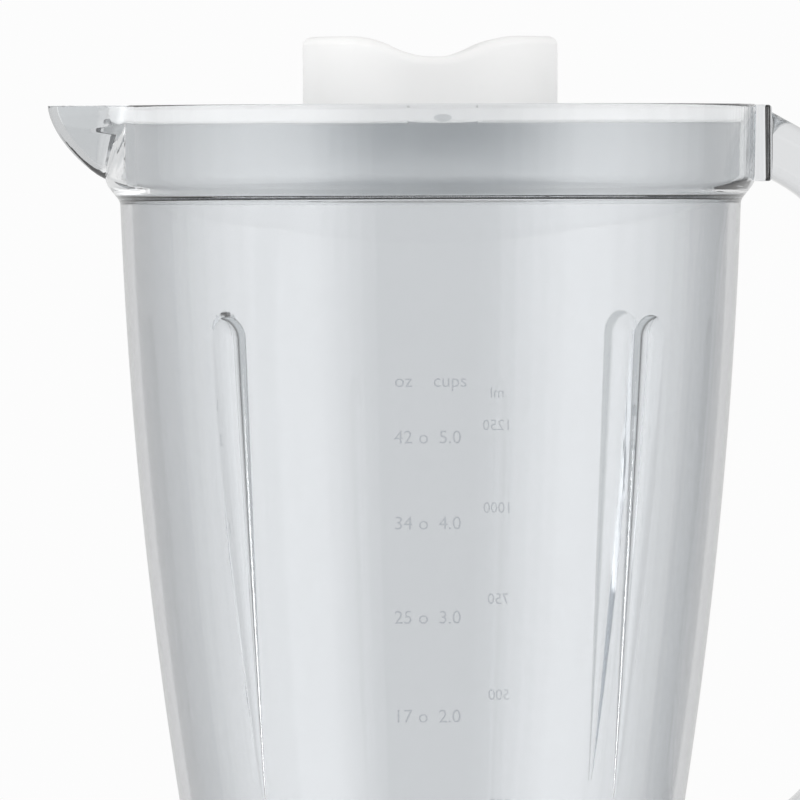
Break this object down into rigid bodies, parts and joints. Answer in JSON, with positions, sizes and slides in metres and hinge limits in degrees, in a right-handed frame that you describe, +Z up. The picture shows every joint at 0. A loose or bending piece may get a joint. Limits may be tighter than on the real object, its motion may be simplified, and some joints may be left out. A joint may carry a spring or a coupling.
{
  "type": "countertop blender",
  "caption": "Countertop blender: clear tapered jar with spout, looped handle, plug lid and filler cap, on a round motor base with a speed knob and a dog-clutch drive to the blades.",
  "frame": {"origin": "on the counter, under the middle of the whole object's box; the drive axis is 9.4 mm to -X and 3.6 mm to +Y of it", "axes": "+Z up along the drive axis; the handle is on +X, the spout on -X, the speed knob faces -Y and the cord entry is on +Y"},
  "size_m": [0.2024, 0.1951, 0.4115],
  "materials": {
    "white_gloss": "gloss white moulding",
    "white_matte": "satin white moulding",
    "clear_body": "clear, faintly blue-grey moulding",
    "white_silicone": "soft white silicone",
    "rubber": "dull black rubber",
    "plated_steel": "zinc-plated",
    "stainless": "polished stainless",
    "cast_aluminium": "as cast",
    "lamination": "varnished sheet stack",
    "copper": "enamelled copper",
    "bronze": "sintered bronze",
    "carbon": "dull carbon",
    "black_plastic": "black moulding"
  },
  "bodies": {
    "base": {"housing": "white_gloss", "bottom_cover": "white_matte", "cover_screws": "plated_steel", "foot_right": "rubber", "foot_back": "rubber", "foot_left": "rubber", "foot_front": "rubber", "deck": "white_matte", "shaft_seal": "rubber", "upper_bracket": "cast_aluminium", "lower_bracket": "cast_aluminium", "upper_bearing": "plated_steel", "lower_bearing": "plated_steel", "motor_dampers": "rubber", "motor_screws": "plated_steel", "stator_core": "lamination", "field_coils": "copper", "stator_bolts": "plated_steel", "stator_nuts": "plated_steel", "brush_holders": "black_plastic", "carbon_brushes": "carbon", "brush_springs": "plated_steel", "switch_body": "black_plastic", "switch_nut": "plated_steel", "cord_gland": "rubber"},
    "rotor": {"motor_shaft": "plated_steel", "armature_core": "lamination", "armature_winding": "copper", "commutator": "copper", "cooling_fan": "black_plastic", "drive_coupling": "black_plastic"},
    "knob": {"speed_knob": "white_gloss", "switch_shaft": "plated_steel"},
    "jar": {"jar": "clear_body", "handle": "clear_body", "jar_collar": "white_gloss", "collar_screws": "plated_steel", "blade_seal": "white_silicone", "blade_holder": "white_matte", "holder_nut": "white_matte", "upper_bush": "bronze", "lower_bush": "bronze"},
    "blades": {"blade_shaft": "stainless", "blade_spacer": "stainless", "lower_blade": "stainless", "upper_blade": "stainless", "blade_nut": "stainless", "driven_coupling": "black_plastic"},
    "lid": {"lid": "clear_body", "lid_seal": "white_silicone"},
    "cap": {"filler_cap": "white_gloss"}
  },
  "joints": [
    {"name": "rotor_spin", "type": "hinge", "parent": "base", "child": "rotor", "pos_m": [-0.0094, 0.0036, 0], "axis": [0, 0, 1], "continuous": true},
    {"name": "knob_turn", "type": "hinge", "parent": "base", "child": "knob", "pos_m": [-0.0094, -0.07893, 0.06678], "axis": [0, -0.9657, 0.2598], "range_deg": [-80, 40]},
    {"name": "jar_lift", "type": "slide", "parent": "base", "child": "jar", "axis": [0, 0, 1], "range_m": [0, 0.12]},
    {"name": "blade_spin", "type": "hinge", "parent": "jar", "child": "blades", "pos_m": [-0.0094, 0.0036, 0], "axis": [0, 0, 1], "continuous": true},
    {"name": "lid_lift", "type": "slide", "parent": "jar", "child": "lid", "axis": [0, 0, 1], "range_m": [0, 0.08]},
    {"name": "cap_lift", "type": "slide", "parent": "lid", "child": "cap", "axis": [0, 0, 1], "range_m": [0, 0.05]}
  ],
  "couplings": [
    {"joint": "blade_spin", "follows": "rotor_spin", "ratio": 1}
  ]
}
